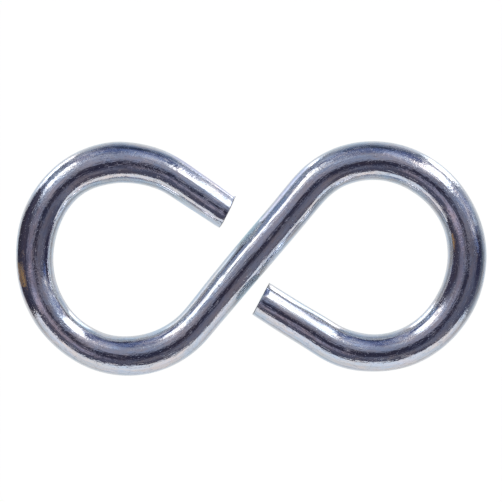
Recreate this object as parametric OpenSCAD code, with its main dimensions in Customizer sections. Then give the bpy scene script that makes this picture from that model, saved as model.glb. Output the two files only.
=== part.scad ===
// S hook of plated round steel wire.
// One length of wire is bent flat into two nearly closed eyes, one at each
// end of a slanting straight shank. Each eye is three tangent bends followed
// by a straight tail, and each tail stops in a sheared end that faces the
// shank across a narrow mouth.
//
// The hook lies flat: the wire touches the plane z = 0, X runs along the hook
// and the origin is in the middle of the hook's outline, at its underside.

/* [Wire] */
// Diameter of the round wire, where it is straight
wire_d = 4.1; // [3.4:0.1:4.6]
// Step down in diameter of the crown bends, doubled in the tighter ones, so that neighbouring solids fuse; not a measured size
fuse_step = 0.02; // [0.02:0.01:0.08]

/* [Shank] */
// Length of the straight shank, between the ends of its two bends
shank_len = 18.8; // [17:0.1:24]
// Slant of the shank from the hook's long axis, in degrees
shank_tilt = 50; // [44:1:56]

/* [Right eye] */
// Centreline radius of the bend next to the shank
right_heel_r = 9.3; // [8.8:0.1:10.4]
// Sweep of the bend next to the shank, in degrees
right_heel_sweep = 71; // [64:1:76]
// Centreline radius of the long bend round the far end of the eye
right_crown_r = 10.5; // [10:0.1:12]
// Sweep of the long bend round the far end of the eye, in degrees
right_crown_sweep = 135; // [126:1:140]
// Centreline radius of the last bend, before the tail
right_nose_r = 9.5; // [8.8:0.1:10.4]
// Sweep of the last bend, in degrees
right_nose_sweep = 56; // [46:1:60]
// Length of the straight tail along its centreline
right_tail_len = 8.4; // [5.5:0.1:9]

/* [Left eye] */
// Centreline radius of the bend next to the shank
left_heel_r = 9.5; // [8.8:0.1:10.4]
// Sweep of the bend next to the shank, in degrees
left_heel_sweep = 83; // [76:1:88]
// Centreline radius of the bend round the far end of the eye
left_crown_r = 10.9; // [10:0.1:12]
// Sweep of the bend round the far end of the eye, in degrees
left_crown_sweep = 92; // [84:1:96]
// Centreline radius of the last bend, before the tail
left_nose_r = 9.4; // [8.8:0.1:10.4]
// Sweep of the last bend, in degrees
left_nose_sweep = 88; // [78:1:92]
// Length of the straight tail along its centreline
left_tail_len = 7.4; // [5:0.1:8]

/* [Sheared ends] */
// Lean of the left end face from square, in degrees; its inner side stands out
left_cut_lean = 8.5; // [0:0.5:12]
// Lean of the right end face from square, in degrees; its inner side stands out
right_cut_lean = 4; // [0:0.5:12]
// Width of the worn-off edge round each end face
edge_break = 0.15; // [0.05:0.05:0.5]

/* [Hidden] */
$fn = 96;

wire_r = wire_d / 2;              // straights
crown_wire_r = wire_r - fuse_step / 2;
tight_wire_r = wire_r - fuse_step;
lap = 0.1;                        // run of a tight bend inside its neighbours

// Bends of each eye from the shank outwards:
// [centreline radius, sweep, radius of the wire, lap at both ends]
right_bends = [[right_heel_r, right_heel_sweep, tight_wire_r, lap],
               [right_crown_r, right_crown_sweep, crown_wire_r, 0],
               [right_nose_r, right_nose_sweep, tight_wire_r, lap]];
left_bends = [[left_heel_r, left_heel_sweep, tight_wire_r, lap],
              [left_crown_r, left_crown_sweep, crown_wire_r, 0],
              [left_nose_r, left_nose_sweep, tight_wire_r, lap]];

// A station is [x, y, heading]: a point of the centreline and the direction in
// which the wire leaves it. Both eyes turn clockwise on their way out.
function shank_end(dir) = [shank_len / 2 * cos(dir), shank_len / 2 * sin(dir), dir];
function along_bend(s, r, a) = [s[0] + r * (sin(s[2]) - sin(s[2] - a)),
                                s[1] - r * (cos(s[2]) - cos(s[2] - a)),
                                s[2] - a];
function stations(s, bends, i = 0) = i == len(bends) ? [s]
    : concat([s], stations(along_bend(s, bends[i][0], bends[i][1]), bends, i + 1));

right_st = stations(shank_end(shank_tilt), right_bends);
left_st = stations(shank_end(shank_tilt + 180), left_bends);

// The centreline in half-degree steps, for the middle of the hook's outline
function trail(st, bends) = [for (i = [0 : len(bends) - 1])
    for (a = [0 : 0.5 : bends[i][1]]) along_bend(st[i], bends[i][0], a)];
line = concat(trail(right_st, right_bends), trail(left_st, left_bends));
xs = [for (p = line) p[0]];
ys = [for (p = line) p[1]];
mid_x = (max(xs) + min(xs)) / 2;
mid_y = (max(ys) + min(ys)) / 2;

module at(s) translate([s[0], s[1], 0]) rotate([0, 0, s[2]]) children();

// One bend, from the origin along +X and turning clockwise
module bend(b) {
    extra = b[3] / b[0] * 180 / PI;
    translate([0, -b[0], 0]) rotate([0, 0, 90 - b[1] - extra])
        rotate_extrude(angle = b[1] + 2 * extra)
            translate([b[0], 0]) circle(r = b[2]);
}

module straight(len) rotate([0, 90, 0]) cylinder(r = wire_r, h = len);

// One straight tail along +X, down to its sheared end. One wide cone both cuts
// the face, which leans so that its inner side, -Y, stands out, and takes the
// edge off all round it.
module sheared_tail(len, lean) {
    reach = len + wire_d;
    intersection() {
        straight(reach);
        translate([len, 0, 0]) rotate([0, 0, lean]) rotate([0, -90, 0])
            cylinder(r1 = wire_r - edge_break, r2 = wire_r - edge_break + reach, h = reach);
    }
}

module s_hook()
    color([0.70, 0.72, 0.77]) translate([-mid_x, -mid_y, wire_r]) {
        at([-shank_end(shank_tilt)[0], -shank_end(shank_tilt)[1], shank_tilt])
            straight(shank_len);
        for (i = [0 : len(right_bends) - 1]) at(right_st[i]) bend(right_bends[i]);
        for (i = [0 : len(left_bends) - 1]) at(left_st[i]) bend(left_bends[i]);
        at(right_st[len(right_bends)])
            sheared_tail(right_tail_len, right_cut_lean);
        at(left_st[len(left_bends)])
            sheared_tail(left_tail_len, left_cut_lean);
    }

s_hook();
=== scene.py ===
import math

import bpy
import numpy as np
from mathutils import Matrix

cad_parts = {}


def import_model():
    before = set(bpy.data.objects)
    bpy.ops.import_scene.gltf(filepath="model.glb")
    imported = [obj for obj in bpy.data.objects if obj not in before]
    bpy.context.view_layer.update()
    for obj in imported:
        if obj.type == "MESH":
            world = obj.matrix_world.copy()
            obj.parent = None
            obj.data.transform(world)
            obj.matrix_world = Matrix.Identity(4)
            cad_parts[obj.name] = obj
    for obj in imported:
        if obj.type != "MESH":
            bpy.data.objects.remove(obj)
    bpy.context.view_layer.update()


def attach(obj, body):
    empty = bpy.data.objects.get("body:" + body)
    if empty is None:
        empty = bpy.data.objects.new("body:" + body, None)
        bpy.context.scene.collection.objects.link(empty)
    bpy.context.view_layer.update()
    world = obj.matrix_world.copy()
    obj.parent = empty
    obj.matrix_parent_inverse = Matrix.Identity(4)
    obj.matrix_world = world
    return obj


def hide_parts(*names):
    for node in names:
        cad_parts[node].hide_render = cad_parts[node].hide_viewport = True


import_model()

MM = 0.001
RNG = np.random.default_rng(41)


# ---------------------------------------------------------------- small node helpers

class Nodes:
    """Short hand for building a node tree. Every call gives back an output socket."""

    def __init__(self, tree):
        self.tree = tree
        tree.nodes.clear()

    def new(self, kind, **settings):
        node = self.tree.nodes.new(kind)
        for key, value in settings.items():
            setattr(node, key, value)
        return node

    def plug(self, socket, value):
        if isinstance(value, bpy.types.NodeSocket):
            self.tree.links.new(value, socket)
        else:
            socket.default_value = value

    def math(self, operation, *values, clamp=False):
        node = self.new("ShaderNodeMath", operation=operation, use_clamp=clamp)
        for socket, value in zip(node.inputs, values):
            self.plug(socket, value)
        return node.outputs[0]

    def vmath(self, operation, *values, out="Vector"):
        node = self.new("ShaderNodeVectorMath", operation=operation)
        for socket, value in zip(node.inputs, values):
            self.plug(socket, value)
        return node.outputs[out]

    def scaled(self, vector, by):
        node = self.new("ShaderNodeVectorMath", operation="SCALE")
        self.plug(node.inputs[0], vector)
        self.plug(node.inputs["Scale"], by)
        return node.outputs[0]

    def split(self, vector):
        node = self.new("ShaderNodeSeparateXYZ")
        self.plug(node.inputs[0], vector)
        return node.outputs

    def joined(self, x, y, z=0.0):
        node = self.new("ShaderNodeCombineXYZ")
        for socket, value in zip(node.inputs, (x, y, z)):
            self.plug(socket, value)
        return node.outputs[0]

    def ramp(self, value, low, high, to_low=0.0, to_high=1.0, smooth=True):
        node = self.new("ShaderNodeMapRange", interpolation_type="SMOOTHSTEP" if smooth else "LINEAR")
        for name, v in (("Value", value), ("From Min", low), ("From Max", high), ("To Min", to_low), ("To Max", to_high)):
            self.plug(node.inputs[name], v)
        return node.outputs[0]

    def mix(self, factor, a, b):
        node = self.new("ShaderNodeMix", data_type="RGBA")
        self.plug(node.inputs[0], factor)
        for socket, value in zip((node.inputs[6], node.inputs[7]), (a, b)):
            self.plug(socket, value if isinstance(value, bpy.types.NodeSocket) else (*value, 1.0))
        return node.outputs[2]

    def noise(self, vector, scale, detail=2.0, rough=0.5, lacunarity=2.0, distort=0.0, kind="FBM", out=0):
        node = self.new("ShaderNodeTexNoise", noise_dimensions="3D", noise_type=kind, normalize=True)
        self.plug(node.inputs["Vector"], vector)
        for name, v in (("Scale", scale), ("Detail", detail), ("Roughness", rough), ("Lacunarity", lacunarity), ("Distortion", distort)):
            self.plug(node.inputs[name], v)
        return node.outputs[out]


# ---------------------------------------------------------------- the run of the wire
# Straight lengths and bends of the wire's centre line in mm, from the left tip, through the left eye, up the shank and
# round the right eye to the right tip. A bend is (radius, angle): turning left is positive.

START, HEADING = (-2.416, 4.848), 146.21
RUN = [(6.659, 0), (10.423, 49.01), (8.724, 44.12), (11.405, 66.99), (9.687, 103.77), (18.589, 0), (9.259, -56.32),
       (10.282, -94.44), (10.888, -39.95), (9.665, -71.38), (8.300, 0)]
WIRE_R = 2.05
STEP = 0.13       # mm between rings
AROUND = 96       # points round a ring


def centre_line():
    """Even stations along the run, with the curvature eased where one bend meets the next."""
    lengths = [a if b == 0 else a * math.radians(abs(b)) for a, b in RUN]
    bends = [0.0 if b == 0 else math.copysign(1 / a, b) for a, b in RUN]
    total = sum(lengths)
    fine = 0.01
    s = np.arange(0, total + fine / 2, fine)
    edges = np.cumsum([0] + lengths)
    k = np.zeros(len(s))
    for i, c in enumerate(bends):
        k[(s >= edges[i]) & (s < edges[i + 1])] = c
    width = 45
    kernel = np.exp(-0.5 * (np.arange(-3 * width, 3 * width + 1) / width) ** 2)
    kernel /= kernel.sum()
    k = np.convolve(np.pad(k, 3 * width, mode="edge"), kernel, mode="valid")
    heading = math.radians(HEADING) + np.concatenate([[0], np.cumsum((k[1:] + k[:-1]) / 2 * fine)])
    x = START[0] + np.concatenate([[0], np.cumsum((np.cos(heading[1:]) + np.cos(heading[:-1])) / 2 * fine)])
    y = START[1] + np.concatenate([[0], np.cumsum((np.sin(heading[1:]) + np.sin(heading[:-1])) / 2 * fine)])
    n = int(round(total / STEP))
    at = np.linspace(0, total, n + 1)
    return at, np.interp(at, s, x), np.interp(at, s, y), np.interp(at, s, heading)


# Width of the wire across the bend plane, in mm, at places along the run.
WIDTH = [(0, 3.90), (2.2, 3.91), (4.3, 3.90), (6.9, 3.92), (9.6, 4.21), (12.3, 4.43), (13.6, 4.56), (15, 4.43), (17.7, 4.23),
         (20.4, 4.13), (23, 4.16), (25.8, 4.20), (28.5, 4.03), (31.5, 4.01), (34, 3.99), (38, 3.97), (40.8, 4.01),
         (43.3, 4.20), (45.9, 4.34), (48.6, 4.20), (51.2, 4.09), (54, 3.91), (56.7, 4.01), (62, 4.15), (67.4, 4.15),
         (75, 4.14), (77.6, 4.20), (83, 4.15), (85.5, 4.17), (88.2, 4.10), (92, 4.11), (95.9, 4.15), (101.3, 4.25), (104, 4.17),
         (109.3, 3.99), (112, 3.98), (115, 4.12), (118, 4.01), (120, 3.93), (126, 3.85)]
# How far the wire wanders to the left of its true run, in mm, at places along it.
WANDER = [(0, -0.05), (5, -0.045), (8, 0), (12, -0.01), (13.5, -0.08), (15, -0.01), (22, 0), (27, 0.005), (31.5, -0.02),
          (40, 0), (46, -0.035), (50, 0.015), (54, -0.015), (58, 0.03), (62, 0.018), (65, -0.01), (67.5, -0.045), (70, -0.02), (76, 0),
          (91, -0.02), (98, 0.01), (103, 0), (112, 0.03), (115.5, 0.035), (118, 0.01), (126, 0)]
# The blade rolled the outer side in at the left tip: (place along the run, how far in).
ROLLED_IN = [(0, 0.27), (0.5, 0.22), (1.2, 0.17), (2.7, 0.10), (4.5, 0.03), (5.4, 0.0), (6.4, -0.2)]
# Each end leans with its cut: (lean in degrees, how far the lean reaches in mm).
LEAN = [(7.6, 2.6), (4.1, 2.6)]

s, cx, cy, head = centre_line()
total = s[-1]
n = len(s)
phi = np.arange(AROUND) / AROUND * 2 * math.pi
tangent = np.stack([np.cos(head), np.sin(head)], 1)
left = np.stack([-np.sin(head), np.cos(head)], 1)


def smooth(values, reach):
    k = np.exp(-0.5 * (np.arange(-3 * reach, 3 * reach + 1) / reach) ** 2)
    return np.convolve(np.pad(values, 3 * reach, mode="edge"), k / k.sum(), mode="valid")


def uneven(along, around):
    """A smooth random field over the wire's skin, of unit strength: how long its lumps are along and around, in mm."""
    white = RNG.standard_normal((n + 200, AROUND))
    fs = np.fft.fftfreq(n + 200, STEP)[:, None] * 2 * math.pi
    fa = np.fft.fftfreq(AROUND, 2 * math.pi * WIRE_R / AROUND)[None] * 2 * math.pi
    field = np.fft.ifft2(np.fft.fft2(white) * np.exp(-0.5 * ((fs * along) ** 2 + (fa * around) ** 2))).real[:n]
    return field / field.std()


def turn_apart(a, b):
    return (a - b + math.pi) % (2 * math.pi) - math.pi


def dent(at, turn, along, around, depth):
    """A shallow pit with a faintly raised lip. Sizes in mm, turn in degrees from the left side up over the top."""
    d2 = ((s[:, None] - at) / along) ** 2 + (turn_apart(phi[None], math.radians(turn)) * WIRE_R / around) ** 2
    return -depth * (1 - 0.45 * d2) * np.exp(-d2)


half_w = smooth(np.interp(s, *zip(*WIDTH)), 8) / 2
rolled = smooth(np.interp(s, *zip(*ROLLED_IN)), 2)
wander = smooth(np.interp(s, *zip(*WANDER)), 5)
sine, cosine = np.sin(phi)[None], np.cos(phi)[None]
calm = 1 - 0.6 * smooth(((s > 54) & (s < 72)).astype(float), 12)
flank = 1 - 1.5 * (1 - calm)[:, None] * np.clip((np.abs(cosine) - 0.50) / 0.15, 0, 1)
skin = 0.024 * calm[:, None] * uneven(1.6, 1.1) * (0.5 + 0.5 * flank) + 0.0022 * uneven(0.55, 0.38) * flank + 0.0055 * uneven(9.0, 0.30) * flank
# the shoulder that the blade squared off along the outer side of the left tip
skin += 0.072 * smooth(np.interp(s, [5.8, 8.2], [1.0, 0.0]), 5)[:, None] * np.exp(-(turn_apart(phi, math.radians(151)) * WIRE_R / 0.46) ** 2)[None]
# a faint ridge along the inner side of the right tip
skin += 0.040 * smooth(np.interp(s, [total - 5.5, total - 3.5], [0.0, 1.0]), 5)[:, None] * np.exp(-(turn_apart(phi, math.radians(133)) * WIRE_R / 0.30) ** 2)[None]
# knocks that can be seen
for one in ((total + 0.02, 118, 0.28, 0.42, 0.10), (total - 0.5, 96, 0.35, 0.30, 0.02), (0.35, 38, 0.22, 0.30, 0.05),
            (0.75, 79, 0.30, 0.20, 0.022), (1.25, 90, 0.35, 0.18, 0.020),
            (0.9, 66, 0.5, 0.35, 0.028), (12.4, 76, 0.55, 0.22, 0.012), (41.0, 116, 0.6, 0.3, 0.015), (13.6, 98, 0.4, 0.2, 0.010),
            (58.5, 62, 0.5, 0.25, 0.012), (80.2, 80, 0.4, 0.2, 0.014), (103.5, 70, 0.5, 0.3, 0.014)):
    skin += dent(*one)
for _ in range(150):
    skin += dent(RNG.uniform(0, total), RNG.uniform(0, 360), RNG.uniform(0.10, 0.40), RNG.uniform(0.10, 0.22), RNG.uniform(-0.004, 0.010))
# the skin stays in contact with the flat it lies on
skin = np.where(np.sin(phi)[None] < -0.9, np.minimum(skin, 0.02), skin)

rings = np.zeros((n, AROUND, 3))
# the ends are drawn down a little at the very edge of each cut
skin -= (0.040 * np.exp(-(s / 0.30) ** 2) + 0.022 * np.exp(-((total - s) / 0.20) ** 2))[:, None] * np.clip(sine + 0.6, 0, 1)
across = half_w[:, None] * cosine + skin * cosine
limit = -(half_w - rolled)[:, None]
across = np.where(rolled[:, None] > -0.15, limit + 0.05 * np.logaddexp(0, (across - limit) / 0.05), across)
across = across + wander[:, None]
up = WIRE_R * sine + skin * sine
# both cuts lean: at the left tip the inner side runs longer, at the right tip the outer side does
lean = np.zeros((n, 1))
lean += -np.clip(1 - s / LEAN[0][1], 0, 1)[:, None] * math.tan(math.radians(LEAN[0][0]))
lean += -np.clip(1 - (total - s) / LEAN[1][1], 0, 1)[:, None] * math.tan(math.radians(LEAN[1][0]))
shift = lean * across
# the left cut also leans down: its upper edge stands out
shift += math.tan(math.radians(5.5)) * np.clip(1 - s / 3.0, 0, 1)[:, None] * (WIRE_R - up)
rings[:, :, 0] = cx[:, None] + left[:, :1] * across + tangent[:, :1] * shift
rings[:, :, 1] = cy[:, None] + left[:, 1:] * across + tangent[:, 1:] * shift
rings[:, :, 2] = WIRE_R + up
straight = np.zeros((n, AROUND, 3))
straight[:, :, 0] = s[:, None]
straight[:, :, 1] = WIRE_R * cosine
straight[:, :, 2] = WIRE_R * sine


def end_face(ring, flat, out, blade):
    """Rings from the edge of a cut to its middle. The side the blade came from is smooth, the far side is torn."""
    middle = ring.mean(0)
    depths = [(1.0, 0.0), (0.996, 0.012), (0.988, 0.021), (0.974, 0.027), (0.948, 0.030), (0.90, 0.030), (0.82, 0.028),
              (0.71, 0.026), (0.58, 0.024), (0.44, 0.022), (0.30, 0.020), (0.16, 0.018)]
    ripple = [RNG.uniform(0, 2 * math.pi, 3) for _ in range(6)]
    points, where = [], []
    for f, proud in depths[1:]:
        p = middle + (ring - middle) * f
        q = flat * np.array([1, f, f])
        toward = (q[:, 1] * math.cos(blade) + q[:, 2] * math.sin(blade)) / WIRE_R
        torn = np.clip((toward + 0.05) / 0.25, 0, 1) * min(1, (1 - f) / 0.05)
        rough = sum(a * np.sin(k * q[:, 1] + r[0]) * np.sin(k * 1.3 * q[:, 2] + r[1]) for k, a, r in
                    zip((2.1, 3.7, 6.3, 9.1, 13.0, 17.0), (0.022, 0.018, 0.014, 0.012, 0.009, 0.006), ripple))
        rise = proud + torn * (-0.055 + rough) + (1 - torn) * 0.006 * np.sin(9 * toward)
        p = p + out[None] * rise[:, None]
        points.append(p)
        where.append(q)
    return np.array(points), np.array(where), middle


# the blade left a nick in the edge of the right tip, beside its dent
near = np.exp(-(turn_apart(phi, math.radians(101)) / 0.15) ** 2)
rings[-1, :, :2] -= near[:, None] * 0.11 * tangent[-1]

ends = []
for ring, flat, out, blade in ((rings[0], straight[0], -np.append(tangent[0], 0), 0.3), (rings[-1], straight[-1], np.append(tangent[-1], 0), 2.5)):
    ends.append(end_face(ring, flat, out, blade))
# the burr that the cut left at the outer corner of the left tip
near = np.exp(-(turn_apart(phi, math.radians(158)) / 0.17) ** 2)
rings[0, :, :2] += near[:, None] * (-0.04 * tangent[0] - 0.23 * left[0])
rings[0, :, 2] += near * 0.03
rings[1, :, :2] -= near[:, None] * 0.08 * left[0]
near = np.exp(-(turn_apart(phi, math.radians(20)) / 0.2) ** 2)
rings[-1, :, :2] += near[:, None] * (0.05 * tangent[-1])

verts = [rings.reshape(-1, 3)]
where = [straight.reshape(-1, 3)]
faces = []


def band(a, b):
    for i in range(AROUND):
        k = (i + 1) % AROUND
        faces.append((a + i, a + k, b + k, b + i))


for i in range(n - 1):
    band(i * AROUND, (i + 1) * AROUND)
count = n * AROUND
for (points, places, middle), rim, inward in ((ends[0], 0, False), (ends[1], (n - 1) * AROUND, True)):
    last = rim
    for k in range(len(points)):
        if inward:
            band(last, count)
        else:
            band(count, last)
        verts.append(points[k])
        where.append(places[k])
        last = count
        count += AROUND
    verts.append(points[-1].mean(0)[None])
    where.append(places[-1].mean(0)[None])
    for i in range(AROUND):
        k = (i + 1) % AROUND
        faces.append((last + i, last + k, count) if inward else (last + k, last + i, count))
    count += 1
verts = np.vstack(verts)
where = np.vstack(where)

mesh = bpy.data.meshes.new("hook_wire")
mesh.from_pydata((verts * MM).tolist(), [], faces)
mesh.update()
mesh.polygons.foreach_set("use_smooth", [True] * len(faces))
hook = bpy.data.objects.new("hook_wire", mesh)
bpy.context.scene.collection.objects.link(hook)
attribute = mesh.attributes.new("straight", "FLOAT_VECTOR", "POINT")
attribute.data.foreach_set("vector", where.astype(np.float32).ravel())
print("triangles", sum(len(f) - 2 for f in faces))

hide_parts("s_hook")
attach(hook, "root")


# ---------------------------------------------------------------- zinc

# scuffs that can be told apart: place along, turn over the top, half length, half width, slant from the wire's run
BLADES = (0.3, 2.5)     # the way each blade went, in radians from the left side up
SCUFFS = [(11.6, 118, 0.42, 0.06, 62), (11.1, 112, 0.30, 0.05, 8), (10.75, 123, 0.38, 0.045, 84), (13.3, 82, 0.60, 0.045, 4),
          (14.1, 79, 0.45, 0.04, -6), (14.6, 83, 0.30, 0.03, 10)]

def zinc():
    """Bright zinc plate on drawn wire. Everything is laid out along the straightened wire, in mm."""
    material = bpy.data.materials.new("bright_zinc")
    material.use_nodes = True
    t = Nodes(material.node_tree)
    shader = t.new("ShaderNodeBsdfPrincipled")
    shader.inputs["Metallic"].default_value = 1.0
    place = t.new("ShaderNodeAttribute", attribute_name="straight").outputs["Vector"]
    along = t.split(place)[0]

    def stretched(by_s, by_round):
        return t.vmath("MULTIPLY", place, (by_s, by_round, by_round))

    # height of the skin, in mm: drawing lines everywhere, and the orange peel that bending raised, in patches
    straights = t.ramp(along, 4.5, 8.5, 1.0, 0.0)
    for low, high in ((53.0, 72.5), (117.5, 140.0)):
        straights = t.math("MAXIMUM", straights, t.math("MULTIPLY", t.ramp(along, low - 2, low + 2), t.ramp(along, high - 2, high + 2, 1.0, 0.0)))
    bent = t.math("SUBTRACT", 1.0, t.math("MULTIPLY", straights, 0.68))
    grain = t.noise(stretched(0.70, 1.0), 5.5, 1, 0.6)
    lines = t.noise(stretched(0.09, 1.0), 5.2, 2, 0.5)
    ripple = t.noise(t.vmath("ADD", stretched(0.9, 0.45), t.scaled(t.noise(place, 1.1, 1, 0.5, out=1), 1.6)), 3.1, 1, 0.5)
    # the outer side of each eye was stretched, so it is the rougher one
    side = t.split(place)[1]
    second = t.ramp(along, 59.0, 67.0)
    outer = t.math("ADD", t.math("MULTIPLY", t.ramp(side, 0.4, 1.3, 1.0, 0.30), t.math("SUBTRACT", 1.0, second)),
                   t.math("MULTIPLY", t.ramp(side, -1.3, -0.4, 0.30, 1.0), second))
    bent = t.math("MULTIPLY", bent, outer)
    flank = t.math("MULTIPLY", straights, t.ramp(t.math("ABSOLUTE", side), 0.9, 1.25, 0.0, 0.85))
    even = t.math("MULTIPLY", t.ramp(outer, 0.3, 1.0, 0.45, 1.0), t.math("SUBTRACT", 1.0, flank))
    peel = t.math("MULTIPLY", bent, t.ramp(t.noise(place, 0.45, 1, 0.5), 0.38, 0.62, 0.35, 1.0))
    height = t.math("MULTIPLY", lines, t.math("MULTIPLY", even, 0.018))
    height = t.math("ADD", height, t.math("MULTIPLY", grain, t.math("MULTIPLY", peel, 0.016)))
    height = t.math("ADD", height, t.math("MULTIPLY", ripple, t.math("MULTIPLY", peel, 0.014)))

    # specks: small proud grains of zinc, and a few pits
    def specks(scale, reach, keep, seed, drawn=0.7):
        cell = t.new("ShaderNodeTexVoronoi", feature="F1", voronoi_dimensions="3D")
        t.plug(cell.inputs["Vector"], t.vmath("ADD", stretched(drawn, 1.0), (seed, seed * 0.7, seed * 1.3)))
        cell.inputs["Scale"].default_value = scale
        chosen = t.ramp(t.split(cell.outputs["Color"])[0], keep, keep + 0.02)
        return t.math("MULTIPLY", t.ramp(cell.outputs["Distance"], 0.0, reach * scale, 1.0, 0.0), chosen)

    grains = specks(3.0, 0.085, 0.40, 3.1)
    small = specks(6.0, 0.060, 0.40, 8.7)
    pits = specks(1.9, 0.11, 0.74, 5.9)
    flecks = t.math("MULTIPLY", specks(4.4, 0.095, 0.50, 12.4, 0.35), t.ramp(t.noise(place, 0.7, 1, 0.5), 0.40, 0.58))
    height = t.math("ADD", height, t.math("MULTIPLY", grains, 0.004))
    height = t.math("ADD", height, t.math("MULTIPLY", small, 0.002))
    height = t.math("SUBTRACT", height, t.math("MULTIPLY", pits, 0.006))

    # hair scratches that run along the wire, in patches
    field = t.ramp(t.noise(stretched(0.30, 1.0), 1.3, 3, 0.65), 0.47, 0.60)
    hair = t.ramp(t.noise(stretched(0.11, 1.0), 9.0, 1, 0.5), 0.56, 0.66)
    scratch = t.math("MULTIPLY", field, hair)
    for at, turn, long, wide, slant in SCUFFS:
        offset = t.vmath("SUBTRACT", place, (at, WIRE_R * math.cos(math.radians(turn)), WIRE_R * math.sin(math.radians(turn))))
        a, b, c = t.split(offset)
        b = t.math("SUBTRACT", t.math("MULTIPLY", b, math.sin(math.radians(turn))), t.math("MULTIPLY", c, math.cos(math.radians(turn))))
        run = t.math("ADD", t.math("MULTIPLY", a, math.cos(math.radians(slant))), t.math("MULTIPLY", b, math.sin(math.radians(slant))))
        off = t.math("SUBTRACT", t.math("MULTIPLY", b, math.cos(math.radians(slant))), t.math("MULTIPLY", a, math.sin(math.radians(slant))))
        mark = t.vmath("LENGTH", t.joined(t.math("DIVIDE", run, long), t.math("DIVIDE", off, wide)), out="Value")
        scratch = t.math("MAXIMUM", scratch, t.ramp(mark, 0.6, 1.2, 1.0, 0.0))
    height = t.math("SUBTRACT", height, t.math("MULTIPLY", scratch, 0.004))

    # a cut is burnished where the blade went in, with lines that run its way, and torn and grainy beyond
    cut = t.math("MAXIMUM", t.ramp(along, 0.0, 0.04, 1.0, 0.0), t.ramp(along, total - 0.04, total, 0.0, 1.0))
    far_end = t.math("GREATER_THAN", along, 60.0)

    def turned(angles):
        both = [t.vmath("DOT_PRODUCT", place, (0.0, math.cos(a), math.sin(a)), out="Value") for a in angles]
        return t.math("ADD", both[0], t.math("MULTIPLY", far_end, t.math("SUBTRACT", both[1], both[0])))

    toward = turned(BLADES)
    striae = t.noise(t.joined(turned([a + math.pi / 2 for a in BLADES]), t.math("MULTIPLY", toward, 0.08), far_end), 5.0, 3, 0.65)
    tear = t.noise(place, 3.4, 4, 0.68)
    torn = t.ramp(t.math("ADD", toward, t.math("MULTIPLY", t.math("SUBTRACT", tear, 0.5), 1.6)), -0.22, 0.02)
    relief = t.math("ADD", t.math("MULTIPLY", striae, t.ramp(torn, 0.0, 1.0, 0.030, 0.008)), t.math("MULTIPLY", tear, t.ramp(torn, 0.0, 1.0, 0.0, 0.06)))
    height = t.math("ADD", height, t.math("MULTIPLY", relief, cut))

    bump = t.new("ShaderNodeBump")
    bump.inputs["Strength"].default_value = 1.0
    bump.inputs["Distance"].default_value = MM
    t.plug(bump.inputs["Height"], height)
    t.plug(shader.inputs["Normal"], bump.outputs[0])

    # dull where it is scratched, on the grains, at the sheared ends and on the rolled corner of the left tip
    rough = t.ramp(lines, 0.35, 0.7, 0.050, 0.085)
    rough = t.math("ADD", rough, t.math("MULTIPLY", grains, 0.50))
    rough = t.math("ADD", rough, t.math("MULTIPLY", small, 0.45))
    rough = t.math("ADD", rough, t.math("MULTIPLY", scratch, 0.30))
    mottle = t.ramp(t.noise(stretched(0.45, 1.0), 4.6, 2, 0.65), 0.50, 0.66)
    rough = t.math("ADD", rough, t.math("MULTIPLY", mottle, 0.07))
    rough = t.math("ADD", rough, t.math("MULTIPLY", cut, t.ramp(torn, 0.0, 1.0, 0.42, 0.70)))
    rolled_side = t.math("MULTIPLY", t.ramp(t.split(place)[1], -0.9, -1.5), t.ramp(along, 2.0, 7.0, 1.0, 0.0))
    rough = t.math("ADD", rough, t.math("MULTIPLY", rolled_side, 0.10))
    t.plug(shader.inputs["Roughness"], rough)

    # plate colour: blue passivate drifting towards lilac, greyer in the scuffs, steel at the cuts
    drift = t.noise(stretched(0.35, 1.0), 0.8, 3, 0.6)
    colour = t.mix(t.ramp(drift, 0.38, 0.62), (0.68, 0.73, 0.80), (0.76, 0.745, 0.79))
    colour = t.mix(t.math("MULTIPLY", t.ramp(grain, 0.45, 0.8), 0.5), colour, (0.62, 0.63, 0.67))
    tinge = t.noise(stretched(0.5, 1.0), 3.3, 2, 0.6)
    colour = t.vmath("MULTIPLY", colour, t.mix(t.ramp(tinge, 0.40, 0.60), (1.03, 1.00, 0.975), (0.97, 1.00, 1.025)))
    patches = t.noise(stretched(0.25, 1.0), 1.2, 3, 0.62)
    colour = t.vmath("MULTIPLY", colour, t.mix(t.ramp(patches, 0.38, 0.62), (1.05, 1.00, 0.945), (0.95, 1.00, 1.055)))
    colour = t.mix(t.math("MULTIPLY", pits, 0.6), colour, (0.30, 0.28, 0.30))
    colour = t.mix(t.math("MULTIPLY", flecks, 0.7), colour, (0.30, 0.33, 0.42))
    colour = t.mix(t.math("MULTIPLY", scratch, 0.5), colour, (0.78, 0.79, 0.82))
    face = t.mix(far_end, (0.97, 0.99, 1.0), (0.86, 0.95, 0.99))
    face = t.vmath("MULTIPLY", face, t.mix(torn, t.mix(t.ramp(striae, 0.42, 0.60), (0.90, 0.91, 0.92), (1.0, 1.0, 1.0)),
                                           t.mix(t.ramp(tear, 0.40, 0.62), (0.82, 0.83, 0.85), (1.0, 1.0, 1.0))))
    colour = t.mix(cut, colour, face)
    sides = t.split(place)
    radius = t.vmath("LENGTH", t.joined(sides[1], sides[2]), out="Value")
    edge = t.math("MAXIMUM", t.ramp(along, 0.01, 0.065, 1.0, 0.0), t.ramp(along, total - 0.075, total - 0.015, 0.0, 1.0))
    edge = t.math("MULTIPLY", edge, t.ramp(radius, 1.965, 2.015))
    colour = t.mix(t.math("MULTIPLY", edge, 0.9), colour, (0.15, 0.135, 0.12))
    t.plug(shader.inputs["Base Color"], colour)
    out = t.new("ShaderNodeOutputMaterial")
    t.plug(out.inputs["Surface"], shader.outputs[0])
    return material


mesh.materials.append(zinc())


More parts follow.
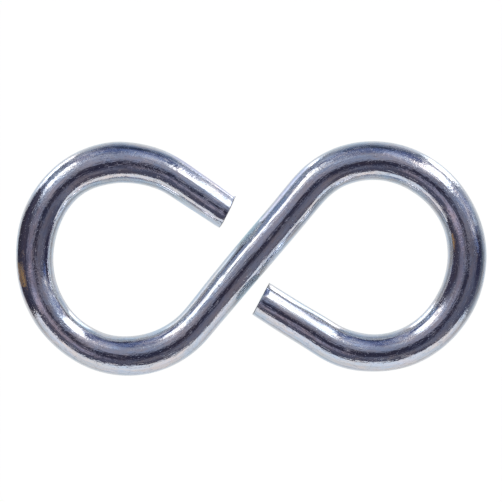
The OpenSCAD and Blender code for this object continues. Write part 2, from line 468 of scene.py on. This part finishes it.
# ---------------------------------------------------------------- studio
# The soft lights are painted into the world in one map: each direction has a place on a disc, with the zenith at its
# middle, the horizon at 0.707 and the nadir at 1. x is to the right and y away from the viewer.

def world():
    w = bpy.data.worlds.new("studio")
    bpy.context.scene.world = w
    w.use_nodes = True
    t = Nodes(w.node_tree)
    direction = t.new("ShaderNodeTexCoord").outputs["Generated"]
    half = t.vmath("NORMALIZE", t.vmath("ADD", direction, (0.0, 0.0, 1.0)))
    colour = t.mix(0.0, (0.078, 0.078, 0.12), (0, 0, 0))

    def spot(x, y, rx, ry, turn, soft, box=False):
        xyz = t.split(t.vmath("SUBTRACT", half, (x, y, 0.0)))
        c, s_ = math.cos(math.radians(turn)), math.sin(math.radians(turn))
        a = t.math("ADD", t.math("MULTIPLY", xyz[0], c / rx), t.math("MULTIPLY", xyz[1], s_ / rx))
        b = t.math("SUBTRACT", t.math("MULTIPLY", xyz[1], c / ry), t.math("MULTIPLY", xyz[0], s_ / ry))
        if box:
            r = t.math("POWER", t.math("ADD", t.math("POWER", t.math("ABSOLUTE", a), 6.0), t.math("POWER", t.math("ABSOLUTE", b), 6.0)), 1 / 6)
        else:
            r = t.vmath("LENGTH", t.joined(a, b), out="Value")
        return t.ramp(r, 1 - soft, 1 + soft, 1.0, 0.0)

    def painted(colour, places):
        for x, y, rx, ry, turn, soft, paint, *box in places:
            colour = t.mix(spot(x, y, rx, ry, turn, soft, *box), colour, paint)
        return colour

    colour = painted(colour, ROOM)
    # the far and right walls are cluttered, so what they throw back is broken into dark and pale
    clutter = t.math("MULTIPLY", t.ramp(t.noise(half, 46.0, 2, 0.6), 0.44, 0.58), t.ramp(t.noise(half, 15.0, 1, 0.5), 0.36, 0.62, 0.35, 1.0))
    tint = t.mix(clutter, (0.30, 0.36, 0.55), (2.9, 2.6, 1.95))
    where_cluttered = t.math("MAXIMUM", spot(0.0, 0.60, 0.60, 0.19, 0, 0.3), spot(0.56, 0.20, 0.24, 0.22, 20, 0.3))
    colour = t.vmath("MULTIPLY", colour, t.mix(where_cluttered, (1, 1, 1), tint))
    colour = painted(colour, LIGHTS)
    # seen by way of the glossy sheet the two lights still burn out
    path = t.new("ShaderNodeLightPath")
    lamps = t.math("MAXIMUM", *(spot(*light[:6], True) for light in LIGHTS[-3:-1]))
    lamps = t.math("MULTIPLY", lamps, t.math("GREATER_THAN", path.outputs["Ray Depth"], 2.5))
    colour = t.scaled(colour, t.math("ADD", 1.0, t.math("MULTIPLY", lamps, 1.9)))
    below = t.ramp(t.split(direction)[2], -0.02, 0.0, 1.0, 0.0)
    colour = t.mix(below, colour, (0.55, 0.57, 0.60))
    colour = t.mix(path.outputs["Is Camera Ray"], colour, (1.0, 1.0, 1.0))
    background = t.new("ShaderNodeBackground")
    t.plug(background.inputs["Color"], colour)
    t.plug(t.new("ShaderNodeOutputWorld").inputs["Surface"], background.outputs[0])
    w.cycles.sampling_method = "MANUAL"
    w.cycles.sample_map_resolution = 1024


# x, y, half width, half height, turn, softness, colour
ROOM = [
    (0.02, -0.06, 0.46, 0.20, 0, 0.6, (0.145, 0.142, 0.19)),      # ceiling round the camera
    (0.00, 0.25, 0.40, 0.18, 0, 0.45, (0.30, 0.31, 0.40)),        # pale ceiling behind the camera
    (0.00, 0.55, 0.50, 0.13, 0, 0.5, (0.125, 0.16, 0.31)),         # blue of the far wall
    (-0.16, 0.50, 0.09, 0.09, 0, 0.7, (0.30, 0.33, 0.47)),
    (0.00, 0.72, 0.34, 0.068, 0, 0.5, (0.05, 0.062, 0.115)),
    (0.52, 0.27, 0.24, 0.15, 25, 0.5, (0.38, 0.42, 0.58)),        # spill on the right wall
    (0.51, 0.17, 0.13, 0.05, 18, 0.6, (0.33, 0.35, 0.46)),
    (-0.48, 0.46, 0.09, 0.16, 48, 0.5, (0.26, 0.32, 0.45)),       # wall under the left light
    (-0.62, 0.08, 0.20, 0.26, 0, 0.3, (0.055, 0.05, 0.08)),       # dark left
    (0.60, -0.02, 0.10, 0.16, 0, 0.4, (0.032, 0.032, 0.065)),     # dark right
    (0.31, -0.31, 0.14, 0.07, -40, 0.6, (0.19, 0.18, 0.225)),     # paler ceiling on the right
    (-0.26, 0.03, 0.13, 0.08, 0, 0.6, (0.21, 0.19, 0.25)),
    (0.03, -0.095, 0.12, 0.14, 0, 0.4, (0.034, 0.032, 0.057)),    # the camera
    (-0.11, 0.30, 0.08, 0.06, 0, 0.6, (0.40, 0.42, 0.52)),
    (-0.14, 0.125, 0.10, 0.065, 140, 0.6, (0.31, 0.31, 0.385)),
    (0.15, 0.09, 0.09, 0.06, 30, 0.6, (0.21, 0.21, 0.27)),
    (-0.60, -0.26, 0.13, 0.09, 25, 0.5, (0.045, 0.042, 0.070)),
    (0.53, 0.06, 0.060, 0.035, 0, 0.5, (0.15, 0.19, 0.36)),       # something blue on the right
    (0.415, 0.11, 0.030, 0.050, 16, 0.6, (0.40, 0.44, 0.60)),     # pale edge on the right
]
LIGHTS = [
    (-0.29, -0.12, 0.15, 0.068, 14, 0.45, (0.47, 0.41, 0.51)),    # rosy reflection on the left
    (-0.15, -0.20, 0.09, 0.055, -40, 0.6, (0.34, 0.305, 0.385)),
    (0.15, -0.31, 0.17, 0.035, 8, 0.6, (0.19, 0.18, 0.22)),
    (0.02, -0.46, 0.36, 0.045, 4, 0.4, (0.085, 0.08, 0.115)),
    (0.115, 0.41, 0.080, 0.13, 0, 0.7, (0.46, 0.49, 0.64)),
    (0.15, 0.335, 0.085, 0.013, 149, 0.6, (0.90, 0.93, 1.0)),     # thin line inside the right light
    (-0.21, 0.245, 0.13, 0.022, 40, 0.6, (0.80, 0.84, 0.94)),     # thin line inside the left light
    (-0.31, 0.36, 0.13, 0.09, 40, 0.5, (0.62, 0.65, 0.74)),       # glow round the left light
    (0.30, 0.38, 0.20, 0.080, 48, 0.35, (0.80, 0.83, 0.90)),      # glow round the right light
    (0.57, 0.24, 0.05, 0.035, 20, 0.5, (0.22, 0.25, 0.36)),
    (0.66, 0.24, 0.030, 0.030, 0, 0.5, (0.80, 0.86, 0.95)),
    (0.37, 0.60, 0.060, 0.050, -32, 0.6, (0.42, 0.46, 0.58)),
    (-0.30, 0.605, 0.10, 0.032, 27, 0.6, (0.50, 0.54, 0.66)),
    (-0.330, 0.363, 0.111, 0.080, 40, 0.30, (1.85, 1.86, 1.9), True),   # left light
    (0.325, 0.379, 0.152, 0.086, 46, 0.28, (1.95, 1.96, 2.0), True),    # right light
    (-0.76, -0.115, 0.15, 0.056, 9, 0.08, (0.335, 0.215, 0.115), True),   # something ochre at the left
]
world()


def object_from(name, verts, faces, material):
    m = bpy.data.meshes.new(name)
    m.from_pydata([tuple(v) for v in verts], [], faces)
    m.materials.append(material)
    o = bpy.data.objects.new(name, m)
    bpy.context.scene.collection.objects.link(o)
    return o


def only_in_reflections(o):
    o.visible_camera = o.visible_diffuse = o.visible_shadow = False
    o.visible_transmission = o.visible_volume_scatter = False


def card():
    """A pale card that stands on the table in front of the hook, just outside the picture."""
    material = bpy.data.materials.new("pale_card")
    material.use_nodes = True
    t = Nodes(material.node_tree)
    light = t.new("ShaderNodeEmission")
    light.inputs["Color"].default_value = (0.86, 0.86, 0.89, 1)
    t.plug(t.new("ShaderNodeOutputMaterial").inputs["Surface"], light.outputs[0])
    top = [(0.175, 0.036), (0.120, 0.046), (0.080, 0.053), (0.000, 0.050), (-0.050, 0.051), (-0.100, 0.058), (-0.150, 0.055), (-0.180, 0.045)]
    outline = [(-0.180, -0.090, 0), (0.175, -0.090, 0)] + [(x, -0.090, z) for x, z in top]
    only_in_reflections(object_from("card", outline, [tuple(range(len(outline)))], material))


card()


def table():
    # what the camera sees: plain white, with the faintest shadow, and clear from below
    material = bpy.data.materials.new("white_table")
    material.use_nodes = True
    t = Nodes(material.node_tree)
    white = t.new("ShaderNodeEmission")
    white.inputs["Color"].default_value = (1, 1, 1, 1)
    white.inputs["Strength"].default_value = 1.0
    matt = t.new("ShaderNodeBsdfDiffuse")
    matt.inputs["Color"].default_value = (0.02, 0.02, 0.02, 1)
    both = t.new("ShaderNodeAddShader")
    t.plug(both.inputs[0], white.outputs[0])
    t.plug(both.inputs[1], matt.outputs[0])
    one_sided = t.new("ShaderNodeMixShader")
    t.plug(one_sided.inputs[0], t.new("ShaderNodeNewGeometry").outputs["Backfacing"])
    t.plug(one_sided.inputs[1], both.outputs[0])
    t.plug(one_sided.inputs[2], t.new("ShaderNodeBsdfTransparent").outputs[0])
    t.plug(t.new("ShaderNodeOutputMaterial").inputs["Surface"], one_sided.outputs[0])
    a = 1.6
    seen = object_from("table", [(-a, -a, 0), (a, -a, 0), (a, a, 0), (-a, a, 0)], [(0, 1, 2, 3)], material)
    seen.visible_glossy = False

    # what the hook reflects: a glossy sheet that is lit through; its glow is painted on, brightest close to the wire,
    # with painted shade right under the wire, in the two mouths and beside the shank, and painted a darker lilac above
    # the left tip
    nx, ny, step = 120, 84, 1.0
    gx = (np.arange(nx + 1) - nx / 2) * step
    gy = (np.arange(ny + 1) - ny / 2) * step
    gx[0], gx[-1], gy[0], gy[-1] = -900, 900, -900, 900
    px, py = np.meshgrid(gx, gy)
    points = np.stack([px.ravel(), py.ravel()], 1)
    line = np.stack([cx, cy], 1)[::4]
    far = np.sqrt(((points[:, None, :] - line[None]) ** 2).sum(2)).min(1)
    verts = np.concatenate([points * MM, np.full((len(points), 1), -0.00002)], 1)
    w = nx + 1
    faces = [(j * w + i, j * w + i + 1, (j + 1) * w + i + 1, (j + 1) * w + i) for j in range(ny) for i in range(nx)]
    material = bpy.data.materials.new("lit_sheet")
    material.use_nodes = True
    t = Nodes(material.node_tree)
    reach = t.new("ShaderNodeAttribute", attribute_name="far").outputs["Fac"]
    # painted light: the sheet's glow is painted brighter the closer it is to the wire
    near = t.math("POWER", 2.718, t.math("MULTIPLY", t.math("SUBTRACT", reach, 3.0), -0.105))
    place = t.split(t.new("ShaderNodeTexCoord").outputs["Object"])
    front = t.ramp(place[1], -0.026, 0.000, 1.0, 0.0)
    sheet = t.mix(near, t.mix(front, (0.09, 0.17, 0.25), (0.90, 0.91, 0.94)), (0.90, 0.955, 0.985))
    # painted shadow: right under and next to the wire the glow is cut down to 0.6, as if the wire shaded the sheet
    sheet = t.scaled(sheet, t.ramp(reach, 2.0, 3.6, 0.60, 1.0))
    edge = t.math("ADD", place[0], t.math("MULTIPLY", place[1], 0.12))
    bearing = t.math("DIVIDE", t.math("SUBTRACT", place[1], 0.00016), t.math("ADD", place[0], 0.01189))
    dark = t.math("MULTIPLY", t.ramp(edge, -0.0290, -0.0275, 1.0, 0.0), t.ramp(bearing, 0.55, 0.59, 1.0, 0.0))
    sheet = t.mix(dark, sheet, (0.03, 0.03, 0.05))
    strip = t.math("ABSOLUTE", t.math("SUBTRACT", bearing, 0.150))
    strip = t.math("MULTIPLY", t.ramp(strip, 0.095, 0.105, 1.0, 0.0), dark)
    sheet = t.mix(strip, sheet, (0.335, 0.215, 0.115))
    # painted shade: the sheet is darker and bluer in the two mouths, where each tip stands close to the shank
    for x, y, paint in ((-0.0014, 0.0040, (0.62, 0.80, 0.88)), (0.0005, -0.0039, (0.66, 0.76, 0.81))):
        mouth = t.vmath("LENGTH", t.vmath("SUBTRACT", t.joined(place[0], place[1]), (x, y, 0.0)), out="Value")
        sheet = t.mix(t.ramp(mouth, 0.0016, 0.0032, 1.0, 0.0), sheet, paint)
    # painted light: the sheet's glow is painted darker and more lilac above the left tip, so the left tip's rim throws
    # back less there
    above = t.vmath("LENGTH", t.vmath("MULTIPLY", t.vmath("SUBTRACT", t.joined(place[0], place[1]), (-0.0020, 0.0118, 0.0)), (1.0, 1.15, 1.0)), out="Value")
    above = t.ramp(above, 0.0050, 0.0066, 1.0, 0.0)
    sheet = t.mix(t.math("MULTIPLY", above, 0.85), sheet, (0.66, 0.68, 0.86))
    # painted shade: the sheet is darker and tealer in the left eye beside the shank, where the wires around it would
    # shade it
    run_x = t.math("ADD", t.math("MULTIPLY", place[0], 0.643), t.math("MULTIPLY", place[1], 0.766))
    run_y = t.math("SUBTRACT", t.math("MULTIPLY", place[1], 0.643), t.math("MULTIPLY", place[0], 0.766))
    beside = t.math("MULTIPLY", t.ramp(run_x, -0.001, 0.0015, 1.0, 0.0), t.ramp(run_x, -0.0145, -0.0115))
    beside = t.math("MULTIPLY", beside, t.math("MULTIPLY", t.ramp(run_y, 0.001, 0.002), t.ramp(run_y, 0.009, 0.011, 1.0, 0.0)))
    sheet = t.mix(t.math("MULTIPLY", beside, 0.8), sheet, (0.66, 0.76, 0.84))
    glow = t.new("ShaderNodeEmission")
    t.plug(glow.inputs["Color"], sheet)
    gloss = t.new("ShaderNodeBsdfGlossy", distribution="GGX")
    gloss.inputs["Roughness"].default_value = 0.06
    mixed = t.new("ShaderNodeMixShader")
    facing = t.new("ShaderNodeLayerWeight")
    facing.inputs["Blend"].default_value = 0.5
    # it is duller in the left eye beside the shank and above the left tip
    dull = t.math("SUBTRACT", 1.0, t.math("MULTIPLY", t.math("MAXIMUM", beside, above), 0.80))
    dull = t.math("MULTIPLY", dull, 0.9)
    t.plug(mixed.inputs[0], t.math("MULTIPLY", facing.outputs["Facing"], dull))
    t.plug(mixed.inputs[1], glow.outputs[0])
    t.plug(mixed.inputs[2], gloss.outputs[0])
    t.plug(t.new("ShaderNodeOutputMaterial").inputs["Surface"], mixed.outputs[0])
    lit = object_from("lit_sheet", verts.tolist(), faces, material)
    lit.data.attributes.new("far", "FLOAT", "POINT").data.foreach_set("value", far.astype(np.float32))
    only_in_reflections(lit)


table()

bpy.context.scene.view_settings.view_transform = "Standard"


# ---------------------------------------------------------------- camera, straight above

camera_data = bpy.data.cameras.new("camera")
camera = bpy.data.objects.new("camera", camera_data)
bpy.context.scene.collection.objects.link(camera)
camera_data.sensor_width = 36.0
away = 600.0
camera_data.lens = 36.0 * away / 54.154
camera.location = (0.0485 * MM, 0.756 * MM, (WIRE_R + away) * MM)
camera_data.clip_start, camera_data.clip_end = 0.01, 10
bpy.context.scene.camera = camera

bpy.context.view_layer.update()
